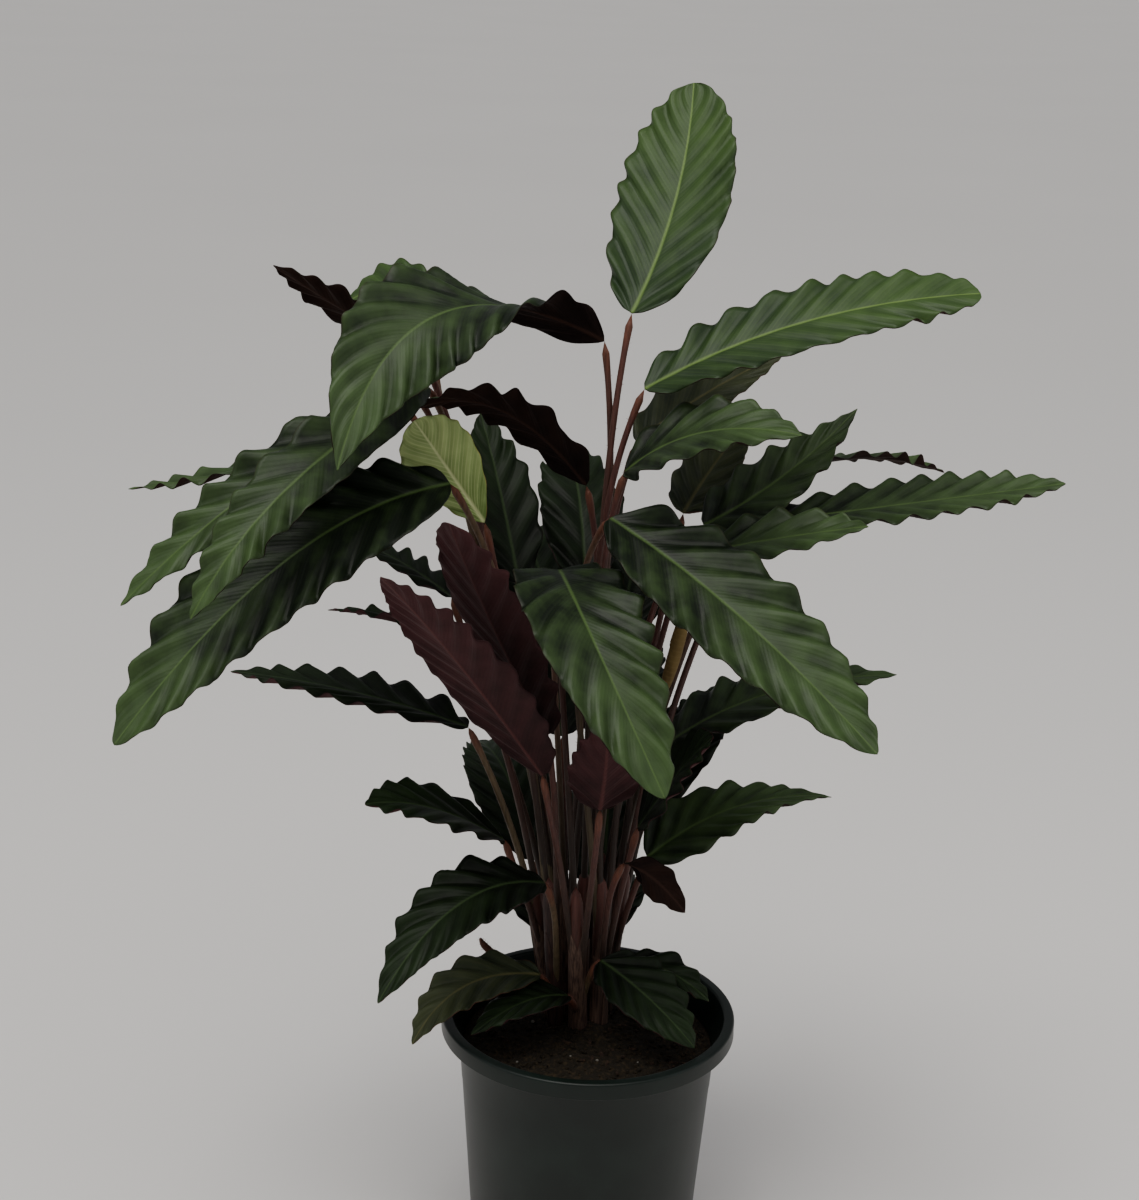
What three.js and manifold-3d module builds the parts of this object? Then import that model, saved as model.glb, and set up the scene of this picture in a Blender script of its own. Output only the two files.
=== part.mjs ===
// A potted calathea rufibarba: a clump of shoots whose stalks carry long waved leaves,
// standing in potting soil in a round plastic nursery pot.
// Millimetres, +Z up, the origin at the centre of the pot's base; the front looks along -Y.

import * as THREE from 'three';
import { mergeVertices } from 'three/addons/utils/BufferGeometryUtils.js';
import Module from 'manifold-3d';

const wasm = await Module();
wasm.setup();

// The pot, by radius and height.
const POT_HEIGHT = 160;
const POT_SIDES = 36;
const RIM_RADIUS = 85;
const RIM_WIDTH = 6.4;
const RIM_ROUND = 1.6;
const SKIRT_HEIGHT = 10;
const SKIRT_WALL = 1.6;
const LEDGE_HEIGHT = 146;
const LEDGE_RADIUS = 74.6;
const BASE_RADIUS = 63.5;
const BASE_CHAMFER = 2;
const POT_WALL = 1.5;
const POT_FLOOR = 2.5;
const DRAIN_COUNT = 8;
const DRAIN_RADIUS = 4.5;
const DRAIN_RING = 48;
const DRAIN_SIDES = 10;

// How far a cut runs past the face it opens, and the room around what stands in a hole.
const OVERCUT = 1;
const CLEARANCE = 0.3;

// The soil and what stands in it.
const SOIL_EDGE = 140;
const SOIL_CROWN = 148;
const SOIL_RINGS = 3;
const SOIL_UNEVEN = 1.2;
const SOIL_RIPPLE = [0.13, 0.11];
const SOIL_RIPPLE_START = [1, -0.5];
const ROOT_RADIUS = 5.6;
const ROOT_DEPTH = 25;
const ROOT_SIDES = 8;

// Sheaths and stalks.
const STALK_START = 152;
const SHEATH_HEIGHT = 95;
const SHEATH_TOP_RADIUS = 4.2;
const STALK_RADIUS = 1.9;
const STALK_SIDES = 5;
const STALK_STEPS = 6;
const STALK_RISE = 0.45;
const STALK_LEAN = 0.25;
const STALK_UPRIGHT = 1.5;
const STALK_END_REACH = 0.25;
const STALK_END_GAP = 0.8;
const HALVINGS = 20;

// Blades.
const BLADE_THICKNESS = 0.8;
const WAVE_SHARE = 0.13;
const WAVE_SPREAD = 1.8;
const WAVE_ONSET = 1.6;
const SCALLOP = 0.04;
const PLEAT_SLANT = 0.1;
const FOLD = 0.12;
const BLADE_ENDS = [0.55, 0.85];

// Where each shoot stands on the soil, seen from above.
const FEET = {
  centre: [-6, 18],
  front: [-6, 3],
  right_front: [6, 9],
  right: [9, 22],
  right_back: [0, 32],
  left_back: [-13, 31],
  left: [-21, 21],
  left_front: [-18, 9],
};

// Each leaf: its name and shoot; the base, middle and tip of its midrib; its width; the turn of
// its face about the midrib at base and tip, in degrees clockwise seen from the stalk; the even
// number of waves in its margin; and, where they differ, how pointed its base and tip are, how
// high its waves are for their length, and how upright its stalk's end is.
const LEAF_ROWS = [
  ['leaf_01', 'centre', [10, 12, 566], [32, 50, 621], [41, 90, 680], 64, [0, 0], 8, [0.55, 0.55], 0.11],
  ['leaf_02', 'centre', [18, 0, 528], [101, 8, 565], [195, 20, 581], 50, [30, 28], 10, [0.5, 0.45], 0.11],
  ['leaf_03', 'right_front', [9, -10, 485], [48, -32, 513], [97, -58, 519], 52, [30, 25], 6],
  ['leaf_04', 'right_back', [16, 32, 491], [54, 54, 515], [98, 78, 534], 36, [20, 20], 6],
  ['leaf_05', 'right', [54, 18, 449], [98, 36, 474], [139, 58, 508], 42, [20, 20], 6, [0.55, 1]],
  ['leaf_06', 'right_back', [84, 65, 459], [142, 95, 470], [202, 125, 456], 34, [-16, -16], 8],
  ['leaf_07', 'right', [84, 20, 451], [166, 15, 466], [248, 10, 481], 46, [14, 12], 10, [0.6, 0.65]],
  ['leaf_08', 'right_front', [40, 0, 436], [91, -21, 454], [136, -42, 468], 44, [20, 20], 6],
  ['leaf_09', 'right_front', [2, -23, 463], [68, -73, 428], [138, -120, 372], 64, [21, 25], 8, [0.55, 0.7]],
  ['leaf_10', 'front', [-24, -12, 430], [-8, -88, 422], [32, -138, 352], 64, [0, 0], 8, [0.5, 0.64]],
  ['leaf_11', 'left_back', [-98, 50, 533], [-125, 88, 556], [-152, 118, 548], 50, [-50, -50], 6],
  ['leaf_12', 'left_front', [-65, -8, 454], [-87, -3, 484], [-104, 0, 507], 40, [-80, -66], 6,
    [0.85, 0.6], 0.08],
  ['leaf_13', 'centre', [-4, 5, 552], [-90, -44, 572], [-134, -100, 504], 70, [60, -58], 10,
    [0.8, 1], 0.13, 5],
  ['leaf_14', 'left_back', [-11, 16, 470], [-57, 8, 512], [-101, -5, 515], 35, [45, 40], 6],
  ['leaf_15', 'left_back', [-100, 22, 536], [-139, 4, 563], [-176, -15, 590], 34, [30, 30], 6],
  ['leaf_16', 'left_back', [-106, 22, 519], [-181, -40, 480], [-249, -70, 421], 40, [-20, -20], 8],
  ['leaf_17', 'left_back', [-112, 45, 503], [-191, 48, 469], [-267, 45, 452], 30, [0, 0], 8],
  ['leaf_18', 'left_back', [-97, 8, 524], [-161, -78, 489], [-205, -115, 430], 40, [-20, -20], 8],
  ['leaf_19', 'left_front', [-83, -23, 479], [-165, -65, 446], [-246, -110, 360], 68, [-28, -28], 10,
    [0.55, 0.66]],
  ['leaf_20', 'left', [-72, -5, 335], [-140, 15, 347], [-210, 35, 349], 44, [0, 0], 8],
  ['leaf_21', 'left_front', [-28, -25, 340], [-58, -50, 410], [-80, -75, 472], 56, [5, 5], 8,
    [0.55, 0.55], 0.06],
  ['leaf_22', 'front', [-30, -35, 320], [-75, -70, 396], [-112, -105, 452], 54, [20, 20], 10,
    [0.55, 0.85], 0.08],
  ['leaf_23', 'left', [-73, 10, 375], [-113, 25, 386], [-155, 40, 386], 34, [15, 15], 6],
  ['leaf_24', 'left_back', [-85, 40, 396], [-115, 65, 408], [-151, 95, 414], 24, [0, 0], 6],
  ['leaf_25', 'left', [-51, -5, 268], [-91, -28, 296], [-125, -50, 306], 44, [-15, -15], 6],
  ['leaf_26', 'left_front', [-27, -18, 248], [-74, -52, 249], [-114, -90, 208], 46, [-15, -15], 8],
  ['leaf_27', 'left_front', [-28, -5, 184], [-71, -20, 183], [-99, -40, 156], 36, [-15, -15], 6],
  ['leaf_28', 'front', [-12, -14, 176], [-38, -28, 178], [-66, -38, 162], 36, [0, 0], 6],
  ['leaf_29', 'front', [6, -8, 196], [34, -28, 183], [60, -43, 161], 46, [10, 10], 6],
  ['leaf_30', 'right', [23, 22, 181], [48, 12, 179], [70, 1, 167], 26, [15, 15], 4],
  ['leaf_31', 'right', [31, 12, 252], [82, 29, 278], [139, 50, 277], 46, [25, 5], 8, [0.5, 1.1]],
  ['leaf_32', 'right_front', [17, -21, 263], [33, -31, 259], [51, -40, 243], 20, [-10, -140], 4,
    [0.8, 0.8]],
  ['leaf_33', 'right', [37, 26, 314], [98, 53, 339], [177, 85, 342], 44, [10, 10], 8],
  ['leaf_34', 'right_back', [32, 60, 290], [56, 88, 308], [75, 120, 319], 32, [0, 0], 6],
  ['leaf_35', 'right_front', [24, -12, 281], [46, -22, 321], [62, -32, 344], 46, [30, 30], 6],
  ['leaf_36', 'front', [2, -38, 302], [4, -54, 334], [4, -68, 366], 40, [0, 0], 6],
  ['leaf_37', 'left_back', [-9, 44, 402], [-15, 92, 446], [-24, 146, 461], 48, [0, 0], 6],
  ['leaf_38', 'left_back', [-47, 38, 406], [-60, 66, 454], [-73, 95, 490], 40, [0, 0], 6],
  ['leaf_40', 'right_back', [12, 55, 370], [22, 115, 405], [36, 180, 400], 60, [0, 0], 8],
  ['leaf_42', 'right_back', [30, 70, 252], [56, 115, 290], [80, 160, 284], 52, [0, 0], 6],
  ['leaf_43', 'left_back', [-34, 62, 225], [-54, 108, 262], [-74, 160, 262], 54, [0, 0], 8],
  ['leaf_44', 'right_back', [-2, 62, 212], [4, 105, 238], [10, 150, 233], 50, [0, 0], 6],
  ['leaf_45', 'right_back', [6, 64, 300], [16, 112, 330], [28, 170, 330], 52, [0, 0], 8],
  ['leaf_46', 'left_back', [-20, 60, 306], [-30, 104, 342], [-44, 160, 350], 52, [0, 0], 8],
  ['leaf_47', 'left_back', [-27, 62, 366], [-38, 104, 398], [-54, 156, 410], 50, [0, 0], 8],
  ['leaf_48', 'right_back', [44, 45, 448], [61, 74, 468], [84, 98, 493], 34, [15, 15], 6],
  ['leaf_49', 'right_back', [8, 58, 230], [9, 90, 250], [10, 122, 258], 34, [0, 0], 6],
  ['leaf_50', 'left_back', [-24, 56, 180], [-34, 88, 194], [-46, 124, 186], 42, [0, 0], 6],
  ['leaf_51', 'right_back', [8, 60, 180], [14, 92, 194], [22, 128, 186], 42, [0, 0], 6],
];

const LEAVES = LEAF_ROWS.map((row) => {
  const [name, shoot, base, middle, tip, width, turn, waves] = row;
  const [ends = BLADE_ENDS, waveShare = WAVE_SHARE, upright] = row.slice(8);
  return { name, shoot, base, middle, tip, width, turn, waves, ends, waveShare, upright };
});

// The leaf that is still rolled up, and where the stub of a cut stalk would have carried one.
const ROLLED_LEAF = { shoot: 'right', base: [34, 4, 350], middle: [42, 3, 385], tip: [53, 2, 436] };
const ROLL_RADIUS = 4.5;
const ROLL_FOOT = 1.5;
const ROLL_SIDES = 8;
const ROLL_SHARES = [0.2, 0.45, 0.75];
const ROLL_TAPER = 0.7;
const STUB = { shoot: 'left', base: [-64, 16, 196], middle: [-66, 16, 202], tip: [-68, 16, 208] };

const MATERIALS = {
  plastic: new THREE.MeshStandardMaterial({ color: '#2a3230', roughness: 0.4, metalness: 0 }),
  soil: new THREE.MeshStandardMaterial({ color: '#231b16', roughness: 1, metalness: 0 }),
  stalk: new THREE.MeshStandardMaterial({ color: '#3a2323', roughness: 0.8, metalness: 0 }),
  blade: new THREE.MeshStandardMaterial({ color: '#3a5238', roughness: 0.45, metalness: 0 }),
};

const UP = new THREE.Vector3(0, 0, 1);

function point([x, y, z]) {
  return new THREE.Vector3(x, y, z);
}

function toManifold(geometry) {
  const bare = geometry.clone();
  bare.deleteAttribute('normal');
  bare.deleteAttribute('uv');
  const merged = mergeVertices(bare, 1e-4);
  return new wasm.Manifold(new wasm.Mesh({
    numProp: 3,
    vertProperties: new Float32Array(merged.attributes.position.array),
    triVerts: new Uint32Array(merged.index.array),
  }));
}

function fromManifold(solid) {
  const mesh = solid.getMesh();
  const geometry = new THREE.BufferGeometry();
  geometry.setAttribute('position', new THREE.BufferAttribute(mesh.vertProperties, 3));
  geometry.setIndex(new THREE.BufferAttribute(mesh.triVerts, 1));
  geometry.computeVertexNormals();
  return geometry;
}

// A profile of [radius, height] points turned about the vertical axis.
function turned(profile, sides) {
  const points = profile.map(([radius, height]) => new THREE.Vector2(radius, height));
  const geometry = new THREE.LatheGeometry(points, sides);
  geometry.rotateX(Math.PI / 2);
  return geometry;
}

function cylinderAt(radius, bottom, top, x, y, sides) {
  const geometry = turned([[0, bottom], [radius, bottom], [radius, top], [0, top]], sides);
  geometry.translate(x, y, 0);
  return geometry;
}

function wallRadius(height) {
  const slope = (LEDGE_RADIUS - BASE_RADIUS) / LEDGE_HEIGHT;
  return BASE_RADIUS + slope * height;
}

function makePot() {
  const rimInner = RIM_RADIUS - RIM_WIDTH;
  const skirtBottom = POT_HEIGHT - SKIRT_HEIGHT;
  const lipUnder = POT_HEIGHT - SKIRT_WALL;
  const profile = [
    [0, 0],
    [BASE_RADIUS - BASE_CHAMFER, 0],
    [wallRadius(BASE_CHAMFER), BASE_CHAMFER],
    [LEDGE_RADIUS, LEDGE_HEIGHT],
    [rimInner + POT_WALL, lipUnder - RIM_ROUND],
    [rimInner + POT_WALL + RIM_ROUND, lipUnder],
    [RIM_RADIUS - SKIRT_WALL, lipUnder],
    [RIM_RADIUS - SKIRT_WALL, skirtBottom],
    [RIM_RADIUS, skirtBottom],
    [RIM_RADIUS, POT_HEIGHT - RIM_ROUND],
    [RIM_RADIUS - RIM_ROUND, POT_HEIGHT],
    [rimInner + RIM_ROUND, POT_HEIGHT],
    [rimInner, POT_HEIGHT - RIM_ROUND],
    [wallRadius(LEDGE_HEIGHT) - POT_WALL, LEDGE_HEIGHT],
    [wallRadius(POT_FLOOR) - POT_WALL, POT_FLOOR],
    [0, POT_FLOOR],
  ];
  let solid = toManifold(turned(profile, POT_SIDES));
  for (let i = 0; i < DRAIN_COUNT; i += 1) {
    const angle = (2 * Math.PI * i) / DRAIN_COUNT;
    const x = DRAIN_RING * Math.cos(angle);
    const y = DRAIN_RING * Math.sin(angle);
    const drain = cylinderAt(DRAIN_RADIUS, -OVERCUT, POT_FLOOR + OVERCUT, x, y, DRAIN_SIDES);
    solid = solid.subtract(toManifold(drain));
  }
  return fromManifold(solid);
}

function soilHeight(x, y) {
  const distance = Math.hypot(x, y) / wallRadius(SOIL_EDGE);
  const dome = SOIL_EDGE + (SOIL_CROWN - SOIL_EDGE) * (1 - distance * distance);
  const sideways = Math.sin(x * SOIL_RIPPLE[0] + SOIL_RIPPLE_START[0]);
  const forward = Math.cos(y * SOIL_RIPPLE[1] + SOIL_RIPPLE_START[1]);
  return dome + SOIL_UNEVEN * sideways * forward;
}

function makeSoil() {
  const topRadius = wallRadius(SOIL_EDGE) - POT_WALL - CLEARANCE;
  const bottomRadius = wallRadius(POT_FLOOR) - POT_WALL - CLEARANCE;
  const profile = [[0, POT_FLOOR + CLEARANCE], [bottomRadius, POT_FLOOR + CLEARANCE]];
  for (let ring = SOIL_RINGS; ring >= 0; ring -= 1) {
    profile.push([(topRadius * ring) / SOIL_RINGS, SOIL_EDGE]);
  }
  const geometry = turned(profile, POT_SIDES);
  const position = geometry.attributes.position;
  for (let i = 0; i < position.count; i += 1) {
    const x = position.getX(i);
    const y = position.getY(i);
    const onTop = position.getZ(i) > POT_HEIGHT / 2;
    const inside = Math.hypot(x, y) < topRadius - CLEARANCE;
    if (onTop && inside) {
      position.setZ(i, soilHeight(x, y));
    }
  }
  let solid = toManifold(geometry);
  for (const [x, y] of Object.values(FEET)) {
    const bottom = SOIL_EDGE - ROOT_DEPTH - CLEARANCE;
    const hole = cylinderAt(ROOT_RADIUS + CLEARANCE, bottom, POT_HEIGHT, x, y, ROOT_SIDES);
    solid = solid.subtract(toManifold(hole));
  }
  return fromManifold(solid);
}

// The stalk's centre line: up out of the sheath, then over into the base of the blade.
function stalkCurve(foot, leaf) {
  const start = new THREE.Vector3(foot[0], foot[1], STALK_START);
  const base = point(leaf.base);
  const rise = base.z - start.z;
  const out = new THREE.Vector3(base.x - start.x, base.y - start.y, 0);
  const low = start.clone().addScaledVector(UP, STALK_RISE * rise).addScaledVector(out, STALK_LEAN);
  const upright = leaf.upright ?? STALK_UPRIGHT;
  const heading = bladeCurve(leaf).getTangent(0).addScaledVector(UP, upright).normalize();
  const end = base.clone().addScaledVector(heading, -STALK_END_GAP);
  const high = end.clone().addScaledVector(heading, -STALK_END_REACH * rise);
  return new THREE.CubicBezierCurve3(start, low, high, end);
}

function makeStalk(foot, leaf) {
  const section = new THREE.Shape();
  for (let i = 0; i < STALK_SIDES; i += 1) {
    const angle = (2 * Math.PI * i) / STALK_SIDES;
    const x = STALK_RADIUS * Math.cos(angle);
    const y = STALK_RADIUS * Math.sin(angle);
    if (i === 0) section.moveTo(x, y);
    else section.lineTo(x, y);
  }
  section.closePath();
  return new THREE.ExtrudeGeometry(section, {
    steps: STALK_STEPS,
    extrudePath: stalkCurve(foot, leaf),
    bevelEnabled: false,
  });
}

// The point of a curve that climbs steadily where it reaches a height.
function pointAtHeight(curve, height) {
  let low = 0;
  let high = 1;
  for (let i = 0; i < HALVINGS; i += 1) {
    const half = (low + high) / 2;
    if (curve.getPoint(half).z < height) low = half;
    else high = half;
  }
  return curve.getPoint(low);
}

// Where the sheath of a shoot ends: in the middle of its stalks at that height.
function sheathTop(foot, leaves) {
  const height = SOIL_CROWN + SHEATH_HEIGHT;
  const tall = leaves.filter((leaf) => leaf.base[2] > height + SHEATH_HEIGHT / 2);
  const top = new THREE.Vector3();
  for (const leaf of tall) {
    top.add(pointAtHeight(stalkCurve(foot, leaf), height));
  }
  return top.divideScalar(tall.length);
}

function makeShoot(name) {
  const foot = FEET[name];
  const leaves = [...LEAVES, ROLLED_LEAF, STUB].filter((leaf) => leaf.shoot === name);
  const bottom = SOIL_EDGE - ROOT_DEPTH;
  const profile = [
    [0, bottom],
    [ROOT_RADIUS, bottom],
    [ROOT_RADIUS, STALK_START],
    [SHEATH_TOP_RADIUS, SOIL_CROWN + SHEATH_HEIGHT],
    [0, SOIL_CROWN + SHEATH_HEIGHT],
  ];
  const sheath = turned(profile, ROOT_SIDES);
  const top = sheathTop(foot, leaves);
  const position = sheath.attributes.position;
  for (let i = 0; i < position.count; i += 1) {
    const above = position.getZ(i) > STALK_START + SHEATH_HEIGHT / 2;
    position.setX(i, position.getX(i) + (above ? top.x : foot[0]));
    position.setY(i, position.getY(i) + (above ? top.y : foot[1]));
  }
  let solid = toManifold(sheath);
  for (const leaf of leaves) solid = solid.add(toManifold(makeStalk(foot, leaf)));
  return fromManifold(solid);
}

function bladeCurve(leaf) {
  const base = point(leaf.base);
  const middle = point(leaf.middle);
  const tip = point(leaf.tip);
  const control = middle.clone().multiplyScalar(2).sub(base.clone().add(tip).multiplyScalar(0.5));
  return new THREE.QuadraticBezierCurve3(base, control, tip);
}

// Half width along the blade, from 0 at the base through 1 at the widest place to 0 at the tip.
function outline(leaf, along) {
  const [base, tip] = leaf.ends;
  const widest = base / (base + tip);
  return (along / widest) ** base * ((1 - along) / (1 - widest)) ** tip;
}

// A point of the blade's middle surface: along runs from base to tip, across from -1 to 1.
function bladePoint(leaf, curve, along, across) {
  const reach = Math.abs(across);
  const slanted = along + PLEAT_SLANT * reach * 4 * along * (1 - along);
  const centre = curve.getPoint(slanted);
  const tangent = curve.getTangent(slanted);
  const heading = point(leaf.tip).sub(point(leaf.base)).setZ(0).normalize();
  const side = new THREE.Vector3().crossVectors(UP, heading);
  side.addScaledVector(tangent, -side.dot(tangent)).normalize();
  const eased = 1 - (1 - slanted) ** 2;
  const turn = THREE.MathUtils.degToRad(leaf.turn[0] + (leaf.turn[1] - leaf.turn[0]) * eased);
  side.applyAxisAngle(tangent, turn);
  const face = new THREE.Vector3().crossVectors(tangent, side);
  const phase = 2 * Math.PI * leaf.waves * along + (across > 0 ? Math.PI : 0);
  const full = outline(leaf, slanted);
  const half = 0.5 * leaf.width * full * (1 + SCALLOP * reach * Math.cos(phase));
  const height = (leaf.waveShare * curve.getLength()) / leaf.waves;
  const wave = height * Math.min(1, WAVE_ONSET * full) * reach ** WAVE_SPREAD * Math.cos(phase);
  const lift = wave + FOLD * half * reach;
  return centre.addScaledVector(side, across * half).addScaledVector(face, lift);
}

// One row of points from base to tip, whose two ends all rows share.
function bladeRow(leaf, curve, across, segments, vertices) {
  const row = [0];
  for (let i = 1; i < segments; i += 1) {
    row.push(vertices.length);
    vertices.push(bladePoint(leaf, curve, i / segments, across));
  }
  row.push(1);
  return row;
}

// The triangles between a fine row and a row with half as many segments.
function bladeStrip(fine, coarse, flip, faces) {
  const add = (a, b, c) => {
    if (a === b || b === c || c === a) return;
    faces.push(flip ? [a, c, b] : [a, b, c]);
  };
  for (let i = 0; i < coarse.length - 1; i += 1) {
    add(coarse[i], fine[2 * i], fine[2 * i + 1]);
    add(coarse[i], fine[2 * i + 1], coarse[i + 1]);
    add(coarse[i + 1], fine[2 * i + 1], fine[2 * i + 2]);
  }
}

function makeBlade(leaf) {
  const curve = bladeCurve(leaf);
  const n = leaf.waves;
  const vertices = [point(leaf.base), point(leaf.tip)];
  const rib = bladeRow(leaf, curve, 0, n / 2, vertices);
  const faces = [];
  const margins = [];
  for (const side of [-1, 1]) {
    const middle = bladeRow(leaf, curve, 0.5 * side, n, vertices);
    const margin = bladeRow(leaf, curve, side, 2 * n, vertices);
    bladeStrip(middle, rib, side > 0, faces);
    bladeStrip(margin, middle, side > 0, faces);
    margins.push(margin);
  }
  const sheet = new THREE.BufferGeometry().setFromPoints(vertices);
  sheet.setIndex(faces.flat());
  sheet.computeVertexNormals();
  const normals = sheet.attributes.normal;
  const count = vertices.length;
  const shell = [];
  for (const way of [0.5, -0.5]) {
    vertices.forEach((vertex, i) => {
      const normal = new THREE.Vector3().fromBufferAttribute(normals, i);
      shell.push(vertex.clone().addScaledVector(normal, way * BLADE_THICKNESS));
    });
  }
  const solid = [];
  for (const [a, b, c] of faces) {
    solid.push([a, b, c], [a + count, c + count, b + count]);
  }
  margins.forEach((margin, side) => {
    for (let i = 0; i < margin.length - 1; i += 1) {
      const [a, b] = side === 0 ? [margin[i], margin[i + 1]] : [margin[i + 1], margin[i]];
      solid.push([a, a + count, b], [b, a + count, b + count]);
    }
  });
  const geometry = new THREE.BufferGeometry().setFromPoints(shell);
  geometry.setIndex(solid.flat());
  geometry.computeVertexNormals();
  return geometry;
}

// A slim spindle, pointed at its top.
function makeRolledLeaf() {
  const start = point(ROLLED_LEAF.base);
  const along = point(ROLLED_LEAF.tip).sub(start);
  const length = along.length();
  const profile = [[0, 0], [ROLL_FOOT, 0]];
  for (const share of ROLL_SHARES) {
    profile.push([ROLL_RADIUS * Math.sin(Math.PI * share ** ROLL_TAPER), length * share]);
  }
  profile.push([0, length]);
  const geometry = turned(profile, ROLL_SIDES);
  geometry.applyQuaternion(new THREE.Quaternion().setFromUnitVectors(UP, along.normalize()));
  geometry.translate(start.x, start.y, start.z);
  return geometry;
}

const group = new THREE.Group();

function addMesh(name, geometry, material) {
  const mesh = new THREE.Mesh(geometry, material);
  mesh.name = name;
  group.add(mesh);
}

addMesh('pot', makePot(), MATERIALS.plastic);
addMesh('soil', makeSoil(), MATERIALS.soil);
for (const name of Object.keys(FEET)) {
  addMesh(`shoot_${name}`, makeShoot(name), MATERIALS.stalk);
}
for (const leaf of LEAVES) {
  addMesh(leaf.name, makeBlade(leaf), MATERIALS.blade);
}
addMesh('rolled_leaf', makeRolledLeaf(), MATERIALS.blade);

export default group;
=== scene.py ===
"""A potted calathea rufibarba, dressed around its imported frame.

The frame gives the pot, the soil, the shoots and the leaves as faceted solids. Each of them is
replaced here by a finer piece of the same form: a turned pot, crumbly soil, shoots with sheaths,
stalks and down, and pleated blades with veins. Lengths in the classes are in millimetres.
"""

import logging
import math
import random
from collections.abc import Callable, Iterator
from dataclasses import dataclass
from enum import Enum
from typing import Any

import bmesh
import bpy
from mathutils import Matrix, Vector, noise


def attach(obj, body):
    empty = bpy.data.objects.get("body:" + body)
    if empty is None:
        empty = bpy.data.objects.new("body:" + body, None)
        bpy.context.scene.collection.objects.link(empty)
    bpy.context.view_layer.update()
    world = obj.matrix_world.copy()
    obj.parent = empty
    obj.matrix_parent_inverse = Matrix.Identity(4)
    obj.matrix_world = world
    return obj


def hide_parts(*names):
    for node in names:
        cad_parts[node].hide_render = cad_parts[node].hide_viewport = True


Triple = tuple[float, float, float]
Pair = tuple[float, float]
Mesh = bmesh.types.BMesh
Vert = bmesh.types.BMVert
Node = bpy.types.Node
Tree = bpy.types.NodeTree
Object = bpy.types.Object
Light = bpy.types.Light
Inputs = dict[str | int, Any]

MM = 0.001
BODY = "root"
UP = Vector((0.0, 0.0, 1.0))
WELD = 0.002 * MM
# What each vertex of a blade and of a stalk tells its material.
LEAF_MARKS = ("along", "run", "off", "reach", "ridge", "painted_shade_fade")
STALK_MARKS = ("height", "joint", "tone")

log = logging.getLogger("calathea")
logging.basicConfig(level=logging.INFO, format="%(name)s: %(message)s")

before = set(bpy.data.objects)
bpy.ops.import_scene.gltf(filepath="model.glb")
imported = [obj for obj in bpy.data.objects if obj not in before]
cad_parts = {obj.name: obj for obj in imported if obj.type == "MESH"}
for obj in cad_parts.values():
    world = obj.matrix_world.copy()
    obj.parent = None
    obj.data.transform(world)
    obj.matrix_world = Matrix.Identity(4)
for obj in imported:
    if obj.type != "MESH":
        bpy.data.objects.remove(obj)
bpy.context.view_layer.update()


def linear(code: str) -> tuple[float, float, float, float]:
    """Turns an sRGB hex colour into the linear colour that a shader takes.

    Args:
        code: The colour as "#rrggbb".

    Returns:
        Red, green, blue and an alpha of 1.
    """
    shares = [int(code[i : i + 2], 16) / 255 for i in (1, 3, 5)]
    red, green, blue = (s / 12.92 if s <= 0.04045 else ((s + 0.055) / 1.055) ** 2.4 for s in shares)
    return red, green, blue, 1.0


def add(tree: Tree, kind: str, inputs: Inputs | None = None, **settings: Any) -> Node:
    """Adds a node with its settings and links.

    Args:
        tree: The node tree that gets the node.
        kind: The node's type, without "ShaderNode" in front.
        inputs: Sockets by name or number, each with a value, a hex colour, the socket to link it
            to, or the node whose first output in use it is linked to.
        **settings: Properties of the node.

    Returns:
        The new node.
    """
    node = tree.nodes.new(f"ShaderNode{kind}")
    for key, value in settings.items():
        setattr(node, key, value)
    for key, value in (inputs or {}).items():
        if isinstance(value, Node):
            value = next(socket for socket in value.outputs if socket.enabled)
        if isinstance(value, bpy.types.NodeSocket):
            tree.links.new(value, node.inputs[key])
        else:
            node.inputs[key].default_value = linear(value) if isinstance(value, str) else value
    return node


@dataclass(frozen=True)
class Finish:
    """What every finish has: a name, and how rough and how glossy it is."""

    name: str
    roughness: float
    ior: float
    gloss: float

    def material(self) -> bpy.types.Material:
        """Makes the finish's material, unless it is there.

        Returns:
            The material.
        """
        made = bpy.data.materials.get(self.name)
        if made is None:
            made = bpy.data.materials.new(self.name)
            made.use_nodes = True
            tree = made.node_tree
            tree.nodes.clear()
            inputs = {"Roughness": self.roughness, "IOR": self.ior, "Specular IOR Level": self.gloss}
            shader = add(tree, "BsdfPrincipled", inputs | self.wire(tree))
            add(tree, "OutputMaterial", {"Surface": shader})
        return made

    def wire(self, tree: Tree) -> Inputs:
        """Adds the nodes of the finish's own colour and relief.

        Args:
            tree: The material's node tree.

        Returns:
            The shader's inputs.
        """
        raise NotImplementedError


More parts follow.
